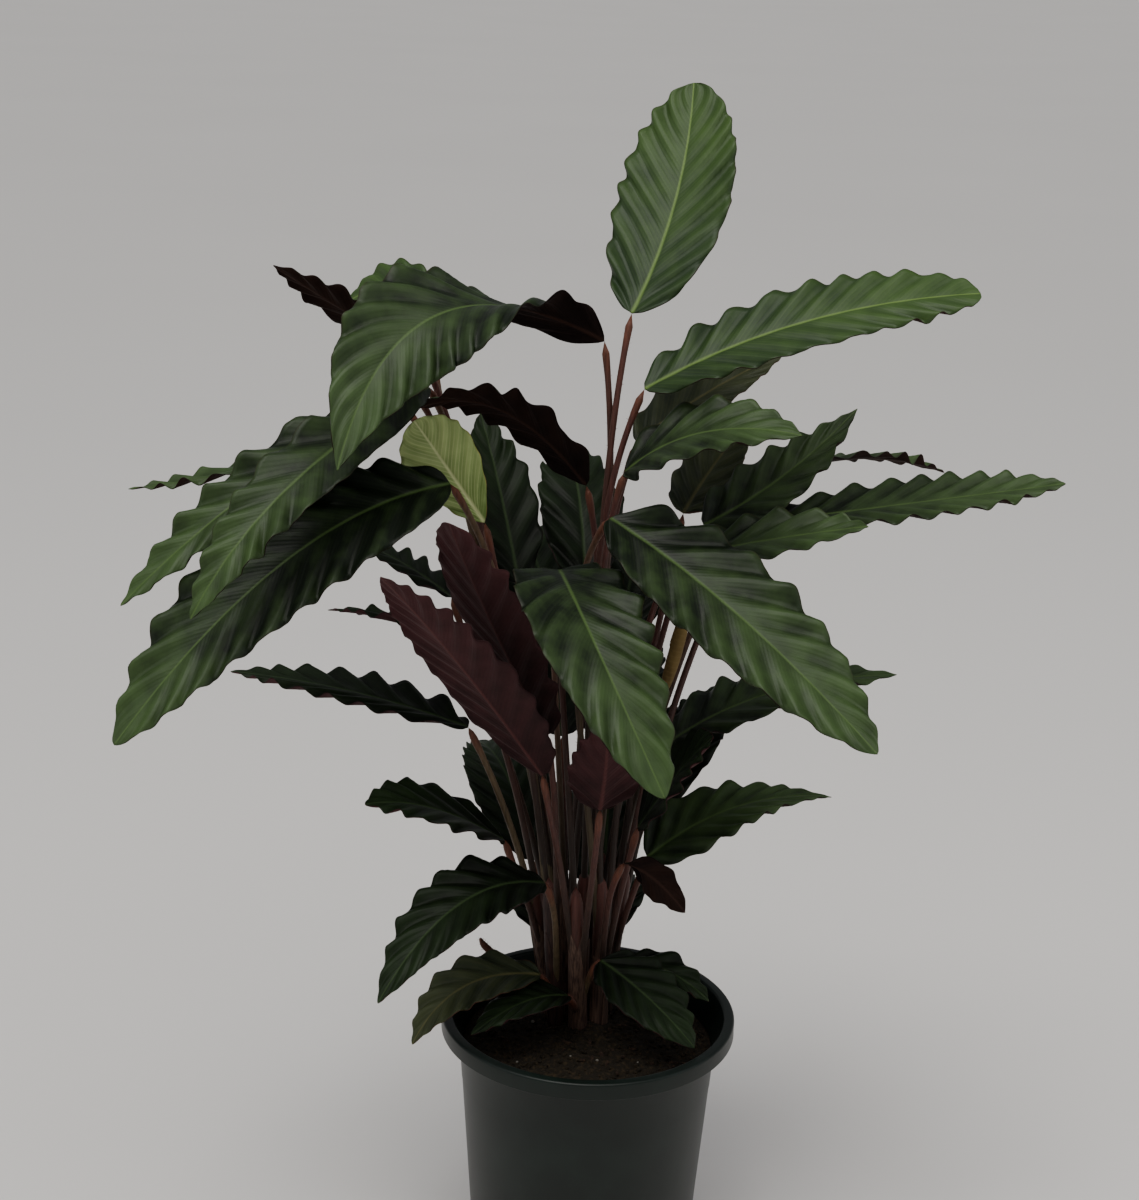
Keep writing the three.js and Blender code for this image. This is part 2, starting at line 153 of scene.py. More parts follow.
@dataclass(frozen=True)
class Grained(Finish):
    """A finish of two colours in grains, fibres or patches, with a grain that stands out in relief."""

    low: str
    high: str
    size: float
    detail: float = 8.0
    band: Pair = (0.48, 0.72)
    most: float = 1.0
    stretch: float = 1.0
    grain: float = 0.0
    strength: float = 0.9
    depth: float = 1.5

    def wire(self, tree: Tree) -> Inputs:
        """Adds the patches to the colour, and their own or a finer grain to the relief.

        Args:
            tree: The material's node tree.

        Returns:
            The shader's inputs.
        """
        place = add(tree, "TexCoord").outputs["Object"]
        drawn = add(tree, "Mapping", {"Vector": place, "Scale": (1.0, 1.0, self.stretch)})
        spots = add(tree, "TexNoise", {"Vector": drawn, "Scale": 1 / (self.size * MM), "Detail": self.detail})
        band = {"From Min": self.band[0], "From Max": self.band[1], "To Max": self.most}
        share = add(tree, "MapRange", {"Value": spots, **band})
        mixed = add(tree, "Mix", {0: share, 6: self.low, 7: self.high}, data_type="RGBA")
        if self.grain:
            spots = add(tree, "TexNoise", {"Vector": place, "Scale": 1 / (self.grain * MM), "Detail": 2.0})
        relief = add(tree, "Bump", {"Height": spots, "Strength": self.strength, "Distance": self.depth * MM})
        return {"Base Color": mixed, "Normal": relief}


@dataclass(frozen=True)
class Polypropylene(Grained):
    """Injection-moulded polypropylene: a dull satin with a fine grain and dusty, paler patches."""

    detail: float = 5.0
    band: Pair = (0.45, 0.8)
    most: float = 0.35
    grain: float = 0.5
    strength: float = 0.12
    depth: float = 0.1


@dataclass(frozen=True)
class Peat(Grained):
    """Peat and composted bark: matt, nearly black where moist, with browner fibres and crumbs."""


@dataclass(frozen=True)
class DrySheath(Grained):
    """A sheath that is drying out: papery, tan to pinkish brown, with darker fibres along it."""

    detail: float = 4.0
    band: Pair = (0.35, 0.65)
    stretch: float = 0.05
    strength: float = 0.6
    depth: float = 0.4


@dataclass(frozen=True)
class PaintedBoard(Grained):
    """A matt painted board, pale and slightly uneven in tone."""

    detail: float = 2.0
    band: Pair = (0.0, 1.0)
    strength: float = 0.0


@dataclass(frozen=True)
class StalkSkin(Finish):
    """The skin of a stalk: maroon and downy, browner towards the soil and redder at the joint.

    It reads the stalk's marks: "height", from 0 at the soil to 1 at the blade, "joint", which is
    1 in the swollen joint below the blade, and "tone", one value a stalk.
    """

    foot: str
    top: str
    joint: str
    pale: str
    streak: float
    stretch: float = 0.06
    depth: float = 0.4

    def wire(self, tree: Tree) -> Inputs:
        """Adds the change of colour along the stalk, its pale stalks, its fine ribs and its down.

        Args:
            tree: The material's node tree.

        Returns:
            The shader's inputs.
        """
        marks = [add(tree, "Attribute", attribute_name=mark).outputs["Fac"] for mark in STALK_MARKS]
        height, joint, tone = marks
        risen = add(tree, "MapRange", {"Value": height, "From Min": 0.4, "From Max": 0.95})
        climbed = add(tree, "Mix", {0: risen, 6: self.foot, 7: self.top}, data_type="RGBA")
        pale = add(tree, "MapRange", {"Value": tone, "From Min": 0.7, "To Max": 0.75})
        varied = add(tree, "Mix", {0: pale, 6: climbed, 7: self.pale}, data_type="RGBA")
        joined = add(tree, "Mix", {0: joint, 6: varied, 7: self.joint}, data_type="RGBA")
        place = add(tree, "TexCoord").outputs["Object"]
        drawn = add(tree, "Mapping", {"Vector": place, "Scale": (1.0, 1.0, self.stretch)})
        ribs = add(tree, "TexNoise", {"Vector": drawn, "Scale": 1 / (self.streak * MM), "Detail": 3.0})
        shading = {"From Min": 0.3, "From Max": 0.7, "To Min": 0.62, "To Max": 1.25}
        dark = add(tree, "MapRange", {"Value": ribs, **shading})
        shaded = add(tree, "Mix", {0: 1.0, 6: joined, 7: dark}, data_type="RGBA", blend_type="MULTIPLY")
        relief = add(tree, "Bump", {"Height": ribs, "Strength": 0.5, "Distance": self.depth * MM})
        # The down catches light at the stalk's edges, as velvet does.
        down = {"Sheen Weight": 0.15, "Sheen Roughness": 0.4, "Sheen Tint": "#c9a08c"}
        return {"Base Color": shaded, "Normal": relief, **down}


@dataclass(frozen=True)
class LeafSkin(Finish):
    """One side of a blade, with its midrib, its feathered side veins and its margin.

    It reads the blade's marks: "run", the distance along it, and "off", the distance from the
    midrib, both in millimetres; "reach", from 0 at the midrib to 1 at the margin; "ridge", from -1
    in the troughs to 1 on the crests of its pleats; "along", from base to tip; and the mark of the
    painted shade, from 0 at the base, where the painted shade is darkest, to 1 at the tip.
    """

    # The ground colour is where the painted shade falls and the crest colour where the painted light falls,
    # with random mottling between them.
    ground: str
    crest: str
    rib: str
    margin: str
    contrast: float
    velvet: float = 0.0
    relief: float = 0.15
    # A real blade's veins lie about 1.5 mm apart, too fine to show, so they are drawn coarser.
    vein_spacing: float = 3.2
    mottling: float = 14.0
    grain: float = 1.6
    depth: float = 0.35
    rib_halves: Pair = (1.9, 0.6)
    rib_core: float = 0.25
    rib_strength: float = 0.75
    # The tone at the tip, past the painted shade of the base.
    painted_shade_tip_tone: float = 0.74
    # How much lighter the pleats' crests and darker their troughs are painted, as painted light and shade.
    painted_pleat_light: float = 0.14

    def wire(self, tree: Tree) -> Inputs:
        """Adds painted pleat light and base shade, mottling, veins, midrib, margin and the veins' relief.

        Args:
            tree: The material's node tree.

        Returns:
            The shader's inputs.
        """
        marks = [add(tree, "Attribute", attribute_name=mark).outputs["Fac"] for mark in LEAF_MARKS]
        along, run, off, reach, ridge, painted_shade_fade = marks
        place = add(tree, "TexCoord").outputs["Object"]
        mottle = add(tree, "TexNoise", {"Vector": place, "Scale": 1 / (self.mottling * MM), "Detail": 6.0})
        mottled = add(tree, "Math", {0: mottle, 1: 1.2, 2: -0.6}, operation="MULTIPLY_ADD")
        # Painted shade: each blade is painted darker towards its base, where the blades above shade it.
        painted_base_shade = add(tree, "MapRange", {"Value": painted_shade_fade, "From Max": 0.75, "To Max": self.painted_shade_tip_tone})
        # Painted light and shade: the pleats' crests are painted lighter and their troughs darker.
        pleats = add(tree, "Math", {0: ridge, 1: self.painted_pleat_light, 2: painted_base_shade}, operation="MULTIPLY_ADD")
        tones = add(tree, "Math", {0: pleats, 1: mottled}, operation="ADD", use_clamp=True)
        ground = add(tree, "Mix", {0: tones, 6: self.ground, 7: self.crest}, data_type="RGBA")

        smooth = {"interpolation_type": "SMOOTHSTEP"}
        turns = add(tree, "Math", {0: run, 1: math.tau / self.vein_spacing}, operation="MULTIPLY")
        waves = add(tree, "Math", {0: turns}, operation="SINE")
        lines = add(tree, "MapRange", {"Value": waves, "From Min": 0.4, "To Max": self.contrast}, **smooth)
        fading = add(tree, "MapRange", {"Value": reach, "From Min": 0.35, "To Min": 1.0, "To Max": 0.25})
        veins = add(tree, "Math", {0: lines, 1: fading}, operation="MULTIPLY")
        veined = add(tree, "Mix", {0: veins, 6: ground, 7: self.rib}, data_type="RGBA")

        widths = {"To Min": self.rib_halves[0], "To Max": self.rib_halves[1]}
        half_rib = add(tree, "MapRange", {"Value": along, **widths})
        fall = {"From Min": self.rib_core, "From Max": half_rib, "To Min": self.rib_strength, "To Max": 0.0}
        rib = add(tree, "MapRange", {"Value": off, **fall}, **smooth)
        ribbed = add(tree, "Mix", {0: rib, 6: veined, 7: self.rib}, data_type="RGBA")
        edge = add(tree, "MapRange", {"Value": reach, "From Min": 0.965, "To Max": 0.6}, **smooth)
        edged = add(tree, "Mix", {0: edge, 6: ribbed, 7: self.margin}, data_type="RGBA")

        grain = add(tree, "TexNoise", {"Vector": place, "Scale": 1 / (self.grain * MM), "Detail": 3.0})
        heights = add(tree, "Math", {0: waves, 1: 0.5, 2: grain}, operation="MULTIPLY_ADD")
        relief = add(tree, "Bump", {"Height": heights, "Strength": self.relief, "Distance": self.depth * MM})
        velvet = {"Sheen Weight": self.velvet, "Sheen Roughness": 0.5, "Sheen Tint": "#b08c88"}
        return {"Base Color": edged, "Normal": relief, **velvet}


class LeafAge(Enum):
    """How old a blade is, which sets the colours of its sides."""

    YOUNG = "young"
    FRESH = "fresh"
    MATURE = "mature"
    OLD = "old"
    AGED = "aged"


YOUNG, FRESH, MATURE, OLD, AGED = LeafAge
# The waxed upper side: a low gloss over green, with a paler midrib.
UPPER_SIDES = {
    age: LeafSkin(f"{age.value}_leaf_cuticle", *look)
    for age, look in {
        YOUNG: (0.5, 1.42, 0.35, "#617c38", "#a8ba74", "#d3d9a0", "#a39c3c", 0.34),
        FRESH: (0.5, 1.45, 0.32, "#1d3016", "#3a5324", "#637d3b", "#2e331b", 0.08),
        MATURE: (0.48, 1.45, 0.28, "#091306", "#3c522b", "#465d2e", "#2a2a18", 0.06),
        OLD: (0.48, 1.45, 0.14, "#060b04", "#1c2a15", "#2f3f24", "#17130c", 0.06),
        AGED: (0.5, 1.42, 0.25, "#1e2618", "#41482d", "#5a5836", "#4a2c20", 0.12),
    }.items()
}
# The downy underside: burgundy and matt, with a little velvet where light meets it at an angle.
UNDER_SIDES = {
    age: LeafSkin(f"{age.value}_leaf_down", 0.75, 1.4, *look, relief=0.3)
    for age, look in {
        YOUNG: (0.25, "#5c4a2a", "#7a663a", "#8a774a", "#5c4127", 0.15, 0.1),
        FRESH: (0.12, "#1b0e0b", "#301b15", "#3d251b", "#1a0c0a", 0.08, 0.06),
        # The mature underside is darker than the others: painted shade for the undersides that lie in deep
        # shade under the blades above.
        MATURE: (0.1, "#100908", "#261813", "#30201a", "#120a08", 0.08, 0.05),
        OLD: (0.15, "#241415", "#432628", "#4e2d2c", "#200e10", 0.08, 0.1),
        AGED: (0.2, "#33201a", "#4c3022", "#58402b", "#341c14", 0.08, 0.12),
    }.items()
}
STALK_SKIN = StalkSkin("downy_stalk_skin", 0.6, 1.4, 0.5, "#261a13", "#4f2a24", "#583020", "#5a4f36", 1.2)
DOWN_SKIN = StalkSkin("stalk_down", 0.7, 1.4, 0.5, "#3c2c24", "#5e3a30", "#6a4636", "#6a5c44", 1.2)
SHEATH_SKIN = DrySheath("papery_sheath", 0.7, 1.4, 0.5, "#2c1c17", "#5c463a", 0.9)
GREEN_SHEATH = DrySheath("living_sheath", 0.6, 1.4, 0.5, "#1d100f", "#3c2620", 0.9)
POT_PLASTIC = Polypropylene("moulded_polypropylene", 0.4, 1.49, 0.25, "#0a1410", "#1c2a24", 26.0)
POTTING_PEAT = Peat("moist_peat", 0.95, 1.33, 0.5, "#1a150d", "#33291a", 2.4)
BARK = Peat("bark_chip", 0.9, 1.35, 0.5, "#22160f", "#463424", 1.6)
PERLITE = Peat("perlite", 0.9, 1.5, 0.5, "#6a665e", "#8f8b82", 0.9)
FLOOR_PAINT = PaintedBoard("painted_board", 0.8, 1.45, 0.5, "#e2e0de", "#dddbd9", 1000 / 1.2)


def placed(name: str, data: bpy.types.ID, place: Matrix = Matrix()) -> Object:
    """Adds an object to the scene.

    Args:
        name: The object's name.
        data: Its mesh, light or camera.
        place: Where it is and how it is turned.

    Returns:
        The object.
    """
    made = bpy.data.objects.new(name, data)
    made.matrix_world = place
    bpy.context.scene.collection.objects.link(made)
    return made


def kept(name: str, bm: Mesh) -> bpy.types.Mesh:
    """Turns a mesh under construction into a kept one.

    Args:
        name: The kept mesh's name.
        bm: The mesh in metres, which is freed.

    Returns:
        The kept mesh.
    """
    mesh = bpy.data.meshes.new(name)
    bm.to_mesh(mesh)
    bm.free()
    return mesh


def finished(name: str, bm: Mesh, looks: list[Finish], node: str, smooth: bool = True) -> Object:
    """Makes a piece of the object from its mesh, and ties it to the frame.

    Args:
        name: The piece's name.
        bm: Its mesh in metres, which is freed.
        looks: Its finishes, in the order of its faces' material numbers.
        node: The solid of the frame that it stands for, or nothing.
        smooth: Whether its faces are shaded smooth.

    Returns:
        The piece.
    """
    for face in bm.faces:
        face.smooth = smooth
    piece = placed(name, kept(name, bm))
    for look in looks:
        piece.data.materials.append(look.material())
    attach(piece, BODY)
    if node:
        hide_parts(node)
    log.info("%s: %d faces", name, len(piece.data.polygons))
    return piece


def spun(profile: list[Pair], segments: int) -> Mesh:
    """Turns a profile about the vertical axis into a closed shape.

    Args:
        profile: Points of radius and height in millimetres, from axis to axis.
        segments: How many faces go round.

    Returns:
        The mesh in metres, its faces pointing outwards.
    """
    bm = bmesh.new()
    verts = [bm.verts.new((radius * MM, 0.0, height * MM)) for radius, height in profile]
    outline = verts + [bm.edges.new(pair) for pair in zip(verts, verts[1:])]
    bmesh.ops.spin(bm, geom=outline, axis=UP, cent=(0, 0, 0), angle=math.tau, steps=segments, use_merge=True)
    bmesh.ops.remove_doubles(bm, verts=bm.verts[:], dist=0.001 * MM)
    bmesh.ops.recalc_face_normals(bm, faces=bm.faces[:])
    return bm


class Path:
    """A curve in space with a frame that is carried along it without twisting."""

    def __init__(self, points: list[Vector]) -> None:
        """Works out the frames.

        Args:
            points: The curve's points, in millimetres.
        """
        self.points = points
        padded = [points[0], *points, points[-1]]
        self.tangents = [(after - before).normalized() for before, after in zip(padded, padded[2:])]
        across = self.tangents[0].orthogonal().normalized()
        self.sides = []
        for tangent in self.tangents:
            across = (across - tangent * across.dot(tangent)).normalized()
            self.sides.append(across)
        lengths = [(b - a).length for a, b in zip(points, points[1:])]
        self.length = sum(lengths)
        self.shares = [sum(lengths[:i]) / self.length for i in range(len(points))]

    def around(self, step: int, angle: float) -> Vector:
        """Returns the direction at an angle about the curve at one of its points."""
        side = self.sides[step]
        return side * math.cos(angle) + self.tangents[step].cross(side) * math.sin(angle)

    def beside(self, step: int, angle: float, radius: float) -> Vector:
        """Returns the place in metres at an angle and a distance in millimetres from the curve."""
        return (self.points[step] + self.around(step, angle) * radius) * MM


def sleeve(bm: Mesh, path: Path, sides: int) -> Iterator[tuple[Vert, int, float]]:
    """Adds a sheet for the caller to wrap round a path, and merges what meets once it is wrapped.

    Args:
        bm: The mesh that gets the sheet.
        path: The line that it is wrapped round.
        sides: How many faces lie across it.

    Yields:
        Each vertex, its step along the path, and its place across the sheet, from -1 to 1.
    """
    steps = len(path.points) - 1
    made = bmesh.ops.create_grid(bm, x_segments=steps, y_segments=sides, size=1.0)["verts"]
    for vert in made:
        yield vert, round((vert.co.x + 1) / 2 * steps), vert.co.y
    bmesh.ops.remove_doubles(bm, verts=made, dist=WELD)


def tube(bm: Mesh, path: Path, sides: int, radius: Callable[[float], float]) -> list[Vert]:
    """Adds a closed round tube along a path, and writes its "height" mark.

    Args:
        bm: The mesh that gets the tube.
        path: The tube's centre line.
        sides: How many faces go round.
        radius: The radius in millimetres for a share of the length, 0 at both ends.

    Returns:
        The tube's vertices.
    """
    height = bm.verts.layers.float.get("height") or bm.verts.layers.float.new("height")
    made = []
    for vert, step, across in sleeve(bm, path, sides):
        share = path.shares[step]
        vert.co = path.beside(step, math.pi * (across + 1), radius(share))
        vert[height] = share
        made.append(vert)
    return [vert for vert in made if vert.is_valid]


@dataclass
class Blade:
    """A leaf blade: its midrib, its width, how its face turns and how it is waved."""

    number: int
    base: Triple
    middle: Triple
    tip: Triple
    width: float
    turn: Pair
    waves: int
    age: LeafAge = OLD
    ends: Pair = (0.55, 0.85)
    wave_share: float = 0.13
    upright: float = 1.5
    # How slowly the painted shade at the base gives way towards the tip.
    fade: float = 1.0
    thickness: float = 0.45
    wave_spread: float = 1.8
    wave_onset: float = 1.6
    wave_drift: float = 2.2
    swelling: float = 1.1
    scallop: float = 0.04
    tooth_height: float = 1.1
    tooth_spacing: float = 5.5
    crest_jitter: float = 0.4
    crest_spacing: float = 9.0
    pleat_slant: float = 0.1
    pleat_depth: float = 0.5
    vein_slope: float = 1.2
    vein_lag: float = 0.09
    fold: float = 0.12
    crinkle: float = 0.5
    crinkle_spacing: float = 7.0
    groove_depth: float = 0.4
    groove_width: float = 1.5
    groove_fade: float = 0.6
    step: float = 1.15
    columns: int = 28
    crowding: float = 1.35

    def __post_init__(self) -> None:
        """Works out the midrib's curve and the blade's own start for its random waves."""
        self.start, self.end = Vector(self.base), Vector(self.tip)
        self.control = Vector(self.middle) * 2 - (self.start + self.end) / 2
        self.level = (self.end - self.start) * Vector((1.0, 1.0, 0.0))
        self.level.normalize()
        self.seed = 7.3 * self.number
        self.length = sum((self.rib(i / 20) - self.rib((i + 1) / 20)).length for i in range(20))
        self.wave_height = self.wave_share * self.length / self.waves
        self.lead = max(0.0, self.vein_slope * 0.5 * self.width / self.length - self.vein_lag)

    def rib(self, share: float) -> Vector:
        """Returns the midrib's point at a share of the way to the tip."""
        rest = 1 - share
        return self.start * rest**2 + self.control * (2 * share * rest) + self.end * share**2

    def heading(self, share: float) -> Vector:
        """Returns the midrib's direction at a share of the way to the tip."""
        return ((self.control - self.start) * (1 - share) + (self.end - self.control) * share).normalized()

    def outline(self, share: float) -> float:
        """Works out how wide the blade is.

        Args:
            share: The share of the way to the tip.

        Returns:
            The half width, from 0 at the ends to 1 at the widest place.
        """
        base, tip = self.ends
        widest = base / (base + tip)
        return (share / widest) ** base * ((1 - share) / (1 - widest)) ** tip

    def chance(self, place: float, row: float, shift: float = 0.0) -> float:
        """Returns the blade's own smooth noise, from about -1 to 1, at a place in a row of it."""
        return noise.noise(Vector((place, self.seed + shift, row)))

    def phase(self, along: float, across: float) -> float:
        """Works out where a point is in its pleat.

        A pleat leaves the midrib early and runs on towards the tip, and the two sides are out of step.

        Args:
            along: The share of the way from base to tip.
            across: From -1 at one margin to 1 at the other.

        Returns:
            The place in the pleat in radians.
        """
        drift = self.wave_drift * self.chance(along * self.waves * 0.45, math.copysign(3.0, across))
        ahead = self.lead * (1 - abs(across))
        return math.tau * self.waves * (along + ahead) + (math.pi if across > 0 else 0.0) + drift

    def point(self, along: float, across: float) -> tuple[Vector, float, float]:
        """Places a point of the blade.

        Args:
            along: The share of the way from base to tip.
            across: From -1 at one margin to 1 at the other.

        Returns:
            The point in millimetres, its distance from the midrib, and how far up its pleat it is.
        """
        reach = abs(across)
        share = along + self.pleat_slant * reach * 4 * along * (1 - along)
        forward = self.heading(share)
        side = UP.cross(self.level)
        side = (side - forward * side.dot(forward)).normalized()
        eased = 1 - (1 - share) ** 2
        turn = math.radians(self.turn[0] + (self.turn[1] - self.turn[0]) * eased)
        side = Matrix.Rotation(turn, 3, forward) @ side
        face = forward.cross(side)

        phase = self.phase(along, across)
        full = self.outline(min(share, 1.0))
        fullness = min(1.0, self.wave_onset * full)
        row = math.copysign(5.0, across)
        tooth = self.chance(along * self.length / self.tooth_spacing, row) * reach**4
        half = 0.5 * self.width * full * (1 + self.scallop * reach * math.cos(phase))
        half += self.tooth_height * tooth * fullness
        swell = 1 + self.swelling * self.chance(along * self.waves * 0.6, row, 9.0)
        jitter = self.chance(along * self.length / self.crest_spacing, row + 4)
        crest = math.cos(phase) + self.crest_jitter * jitter
        wave = self.wave_height * swell * fullness * reach**self.wave_spread * crest
        pleat = self.pleat_depth * fullness * math.sin(math.pi * min(1.0, 1.15 * reach)) * math.cos(phase)
        ripple = self.chance(along * self.length / self.crinkle_spacing, 2 * row + reach)
        ripple *= 2 * self.crinkle * fullness * reach**2
        groove = -self.groove_depth * math.exp(-((across * half / self.groove_width) ** 2))
        groove *= 1 - self.groove_fade * share
        lift = wave + pleat + ripple + groove * fullness + self.fold * half * reach
        ridge = math.cos(phase) * min(1.0, 3 * reach) * fullness
        return self.rib(share) + side * (across * half) + face * lift, reach * half, ridge

    def build(self) -> None:
        """Builds the blade as one pleated sheet with its thickness, and dresses it."""
        bm = bmesh.new()
        marks = [bm.verts.layers.float.new(name) for name in LEAF_MARKS]
        steps = round(self.length / self.step)
        bmesh.ops.create_grid(bm, x_segments=steps, y_segments=self.columns, size=1.0)
        for vert in bm.verts:
            along = (vert.co.x + 1) / 2
            across = math.copysign(abs(vert.co.y) ** self.crowding, vert.co.y)
            place, off, ridge = self.point(along, across)
            vert.co = place * MM
            run = (along + self.lead * (1 - abs(across))) * self.length
            for mark, value in zip(marks, (along, run, off, abs(across), ridge, along**self.fade)):
                vert[mark] = value
        bmesh.ops.remove_doubles(bm, verts=bm.verts[:], dist=5 * WELD)
        name = f"leaf_{self.number:02d}"
        piece = finished(f"{name}_blade", bm, [UPPER_SIDES[self.age], UNDER_SIDES[self.age]], name)
        shell = piece.modifiers.new("thickness", "SOLIDIFY")
        shell.thickness = self.thickness * MM
        shell.offset = 0.0
        shell.material_offset = 1
        shell.material_offset_rim = 1


ROLLED = Blade(0, (34, 4, 350), (42, 3, 385), (53, 2, 436), 9, (0, 0), 2)
STUB = Blade(0, (-64, 16, 196), (-66, 16, 202), (-68, 16, 208), 0, (0, 0), 2)


@dataclass
class Shoot:
    """A shoot: a stump in the soil, its sheaths, and the stalks that carry the blades."""

    name: str
    foot: Pair
    leaves: list[Blade]
    soil_crown: float = 148.0
    stump_bottom: float = 134.0
    stalk_start: float = 152.0
    stump_radius: float = 5.2
    core_sides: int = 16
    sheath_height: float = 95.0
    sheath_thickness: float = 0.4
    sheath_gap: float = 0.35
    sheath_flare: float = 0.5
    sheath_spread: Pair = (1.2, 1.7)
    sheath_layers: int = 4
    sheath_columns: int = 14
    sheath_steps: int = 16
    living_share: float = 0.4
    climb: float = 0.45
    lean: float = 0.25
    stalk_radius: float = 1.95
    stalk_sides: int = 12
    stalk_steps: int = 44
    joint_length: float = 16.0
    joint_swelling: float = 0.45
    joint_width: float = 6.0
    neck_length: float = 5.0
    hairs_a_stalk: int = 260
    hair_length: Pair = (0.9, 1.9)
    hair_radius: float = 0.07
    hair_tip: float = 0.01
    hair_root: float = 0.12

    def __post_init__(self) -> None:
        """Seeds the shoot's own random numbers."""
        self.random = random.Random(self.name)

    def stalk(self, leaf: Blade) -> Path:
        """Draws a stalk: up out of the sheath, then over into the blade.

        Args:
            leaf: The blade that it carries.

        Returns:
            Its centre line.
        """
        start = Vector((*self.foot, self.stalk_start))
        rise = leaf.start.z - start.z
        out = Vector((leaf.start.x - start.x, leaf.start.y - start.y, 0.0))
        low = start + UP * (self.climb * rise) + out * self.lean
        heading = (leaf.heading(0.0) + UP * leaf.upright).normalized()
        end = leaf.start.copy()
        high = end - heading * (self.lean * rise)
        points = []
        for i in range(self.stalk_steps + 1):
            s = i / self.stalk_steps
            r = 1 - s
            points.append(start * r**3 + low * (3 * r * r * s) + high * (3 * r * s * s) + end * s**3)
        return Path(points)

    def thickness(self, length: float) -> Callable[[float], float]:
        """Gives the form of a stalk, which tapers up to a swollen joint.

        Args:
            length: The stalk's length.

        Returns:
            Its radius, by the share of the way up it.
        """

        def radius(share: float) -> float:
            """Returns the radius at a share of the stalk's length."""
            if share in (0.0, 1.0):
                return 0.0
            below = (1 - share) * length
            body = self.stalk_radius * (1.08 - 0.22 * share)
            centre = 0.55 * self.joint_length
            swelling = self.joint_swelling * math.exp(-(((centre - below) / self.joint_width) ** 2))
            return body + swelling - 0.5 * self.stalk_radius * max(0.0, 1 - below / self.neck_length)

        return radius

    def add_stalks(self, bm: Mesh) -> list[Path]:
        """Adds every stalk to the mesh.

        Args:
            bm: The shoot's mesh.

        Returns:
            The stalks' paths.
        """
        height, joint, tone = (bm.verts.layers.float.new(name) for name in STALK_MARKS)
        paths = []
        for leaf in self.leaves:
            path = self.stalk(leaf)
            shade = self.random.random()
            for vert in tube(bm, path, self.stalk_sides, self.thickness(path.length)):
                vert[tone] = shade
                below = (1 - vert[height]) * path.length
                vert[joint] = max(0.0, min(1.0, 1.6 - below / self.joint_length * 1.3))
            paths.append(path)
        return paths

    def sheath_path(self, paths: list[Path], top: float) -> Path:
        """Draws the line that the stalks' middle follows up to a height.

        Args:
            paths: The stalks' paths.
            top: The height where the line ends.

        Returns:
            The line, from below the soil's surface.
        """
        crown = self.soil_crown + self.sheath_height
        tall = [path for path in paths if path.points[-1].z > crown + self.sheath_height / 2]
        end = Vector()
        for path in tall:
            above = next(i for i, p in enumerate(path.points) if p.z > crown)
            low, high = path.points[above - 1], path.points[above]
            end += low.lerp(high, (crown - low.z) / (high.z - low.z)) / len(tall)
        start = Vector((*self.foot, self.stalk_start))
        points = [Vector((*self.foot, self.stump_bottom))]
        for i in range(self.sheath_steps + 1):
            z = start.z + (top - start.z) * i / self.sheath_steps
            points.append(start.lerp(end, (z - start.z) / (crown - start.z)))
        return Path(points)

    def core_radius(self, share: float) -> float:
        """Returns the radius of the stump and the sheath's core, which tapers upwards."""
        closing = 0.0 if share in (0.0, 1.0) else min(1.0, 0.4 + 6 * (1 - share))
        return self.stump_radius * (1 - 0.25 * share) * closing

    def build_stalks(self) -> list[Path]:
        """Builds the stump, the core and the stalks as one piece.

        Returns:
            The stalks' paths.
        """
        bm = bmesh.new()
        paths = self.add_stalks(bm)
        core = self.sheath_path(paths, self.soil_crown + self.sheath_height)
        tube(bm, core, self.core_sides, self.core_radius)
        bmesh.ops.recalc_face_normals(bm, faces=bm.faces[:])
        finished(f"shoot_{self.name}_stalks", bm, [STALK_SKIN], f"shoot_{self.name}")
        return paths

    def build_sheaths(self, paths: list[Path]) -> None:
        """Builds the sheaths: half tubes that wrap the foot of the shoot and end in a point.

        Args:
            paths: The stalks' paths.
        """
        bm = bmesh.new()
        for layer in range(self.sheath_layers):
            rise = self.sheath_height * self.random.uniform(0.55, 1.0) * (1.0 - 0.12 * layer)
            path = self.sheath_path(paths, self.soil_crown + rise)
            facing = self.random.uniform(0, math.tau)
            spread = self.random.uniform(*self.sheath_spread)
            for vert, step, across in sleeve(bm, path, self.sheath_columns):
                share = path.shares[step]
                angle = facing + across * spread * (1 - share**3) ** 0.7
                radius = self.stump_radius * (1.02 - 0.26 * share) + self.sheath_gap * layer
                vert.co = path.beside(step, angle, radius + self.sheath_flare * share * share)
        finish = GREEN_SHEATH if self.random.random() < self.living_share else SHEATH_SKIN
        piece = finished(f"shoot_{self.name}_sheaths", bm, [finish], "")
        shell = piece.modifiers.new("thickness", "SOLIDIFY")
        shell.thickness = self.sheath_thickness * MM
        shell.offset = 1.0

